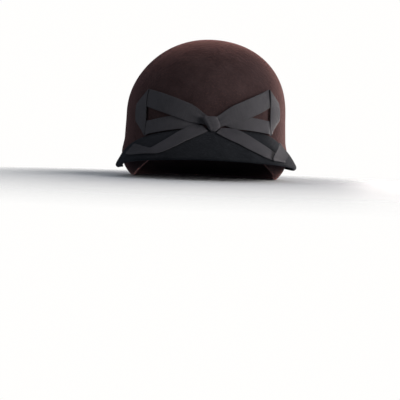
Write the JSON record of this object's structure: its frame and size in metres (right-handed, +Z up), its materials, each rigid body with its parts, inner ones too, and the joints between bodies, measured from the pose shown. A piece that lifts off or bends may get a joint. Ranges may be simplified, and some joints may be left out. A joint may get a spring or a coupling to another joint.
{
  "type": "jockey cap",
  "caption": "Felt jockey cap with a round brown crown, a short black peak sewn to its front and a flat dark ribbon bow over the seam.",
  "frame": {"origin": "on the resting surface, under the middle of the cap's bounding box", "axes": "+Z up; the front with its peak and bow faces -Y; +X is on the right of someone facing the front"},
  "size_m": [0.1744, 0.2343, 0.135],
  "materials": {
    "brown_felt": "matt felt with a short nap",
    "black_felt": "matt felt with a short nap",
    "ribbon": "ribbed ribbon with a slight sheen"
  },
  "bodies": {
    "root": {"crown": "brown_felt", "peak": "black_felt", "bow_loop_left": "ribbon", "bow_loop_right": "ribbon", "bow_knot": "ribbon", "bow_tail_left": "ribbon", "bow_tail_right": "ribbon"}
  },
  "joints": []
}
